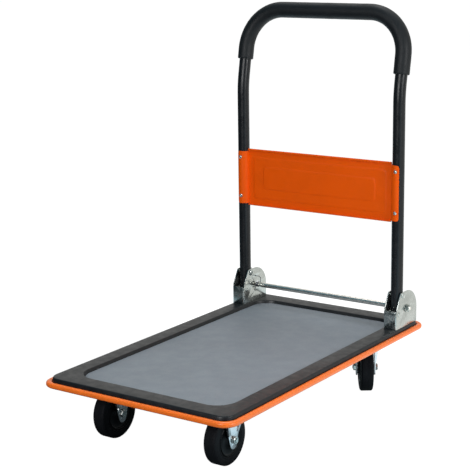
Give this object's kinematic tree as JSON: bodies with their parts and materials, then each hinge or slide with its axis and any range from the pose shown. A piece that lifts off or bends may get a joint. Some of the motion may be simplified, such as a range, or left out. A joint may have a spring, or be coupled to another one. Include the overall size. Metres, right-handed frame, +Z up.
{
  "type": "folding platform cart",
  "caption": "Flat steel platform cart with a soft mat, orange edge bumper, rigid front and swivel rear casters, and a bent tube handle with an orange back panel that folds down over the deck.",
  "frame": {"origin": "on the floor under the middle of the deck's outline", "axes": "+X to the cart's right seen from the handle's front side, +Y along the deck towards the handle, +Z up"},
  "size_m": [0.437, 0.7462, 0.8058],
  "materials": {
    "black_steel": "semi-gloss black paint",
    "black_tube": "black powder coat",
    "orange_bumper": "soft satin PVC",
    "orange_paint": "orange powder coat",
    "grey_mat": "matt grained PVC",
    "black_foam": "matt foam rubber",
    "zinc": "bright zinc plate",
    "black_plastic": "moulded satin",
    "black_rubber": "matt rubber",
    "spring_steel": "drawn steel wire"
  },
  "bodies": {
    "base": {"deck_plate": "black_steel", "edge_bumper": "orange_bumper", "deck_mat": "grey_mat", "cross_rib_front": "black_steel", "cross_rib_middle": "black_steel", "cross_rib_rear": "black_steel", "hinge_bracket_left": "zinc", "pivot_pin_left": "zinc", "stop_pin_left": "zinc", "bracket_rivet_left_front": "zinc", "bracket_rivet_left_rear": "zinc", "front_fork_left": "zinc", "axle_bolt_front_left": "zinc", "axle_nut_front_left": "zinc", "axle_sleeve_front_left": "spring_steel", "rear_top_plate_left": "zinc", "swivel_bearing_left": "zinc", "kingpin_left": "zinc", "hinge_bracket_right": "zinc", "pivot_pin_right": "zinc", "stop_pin_right": "zinc", "bracket_rivet_right_front": "zinc", "bracket_rivet_right_rear": "zinc", "front_fork_right": "zinc", "axle_bolt_front_right": "zinc", "axle_nut_front_right": "zinc", "axle_sleeve_front_right": "spring_steel", "rear_top_plate_right": "zinc", "swivel_bearing_right": "zinc", "kingpin_right": "zinc"},
    "handle": {"handle_tube": "black_tube", "handle_grip": "black_foam", "back_panel": "orange_paint", "panel_screw_left_top": "zinc", "panel_screw_left_bottom": "zinc", "panel_screw_right_top": "zinc", "panel_screw_right_bottom": "zinc"},
    "release": {"release_rod": "zinc", "rod_washer_left": "zinc", "rod_nut_left": "zinc", "rod_spring_left": "spring_steel", "rod_washer_right": "zinc", "rod_nut_right": "zinc", "rod_spring_right": "spring_steel"},
    "wheel_front_left": {"wheel_hub_front_left": "black_plastic", "wheel_tyre_front_left": "black_rubber"},
    "swivel_left": {"rear_fork_left": "zinc", "axle_bolt_rear_left": "zinc", "axle_nut_rear_left": "zinc", "axle_sleeve_rear_left": "spring_steel"},
    "wheel_rear_left": {"wheel_hub_rear_left": "black_plastic", "wheel_tyre_rear_left": "black_rubber"},
    "wheel_front_right": {"wheel_hub_front_right": "black_plastic", "wheel_tyre_front_right": "black_rubber"},
    "swivel_right": {"rear_fork_right": "zinc", "axle_bolt_rear_right": "zinc", "axle_nut_rear_right": "zinc", "axle_sleeve_rear_right": "spring_steel"},
    "wheel_rear_right": {"wheel_hub_rear_right": "black_plastic", "wheel_tyre_rear_right": "black_rubber"}
  },
  "joints": [
    {"name": "handle_fold", "type": "hinge", "parent": "base", "child": "handle", "pos_m": [0, 0.2863, 0.2035], "axis": [1, 0, 0], "range_deg": [0, 97]},
    {"name": "rod_release", "type": "slide", "parent": "base", "child": "release", "axis": [0, 1, 0], "range_m": [0, 0.012], "stiffness_N_per_m": 900, "springref_m": -0.012, "deforming": ["rod_spring_left", "rod_spring_right"]},
    {"name": "wheel_front_left_spin", "type": "hinge", "parent": "base", "child": "wheel_front_left", "pos_m": [-0.13, -0.2622, 0.0505], "axis": [1, 0, 0], "continuous": true},
    {"name": "wheel_front_right_spin", "type": "hinge", "parent": "base", "child": "wheel_front_right", "pos_m": [0.13, -0.2622, 0.0505], "axis": [1, 0, 0], "continuous": true},
    {"name": "swivel_left_turn", "type": "hinge", "parent": "base", "child": "swivel_left", "pos_m": [-0.13, 0.2604, 0.11], "axis": [0, 0, 1], "continuous": true},
    {"name": "swivel_right_turn", "type": "hinge", "parent": "base", "child": "swivel_right", "pos_m": [0.13, 0.2604, 0.11], "axis": [0, 0, 1], "continuous": true},
    {"name": "wheel_rear_left_spin", "type": "hinge", "parent": "swivel_left", "child": "wheel_rear_left", "pos_m": [-0.11433, 0.23768, 0.0505], "axis": [0.8231, 0.5678, 0], "continuous": true},
    {"name": "wheel_rear_right_spin", "type": "hinge", "parent": "swivel_right", "child": "wheel_rear_right", "pos_m": [0.14567, 0.23768, 0.0505], "axis": [0.8231, 0.5678, 0], "continuous": true}
  ]
}
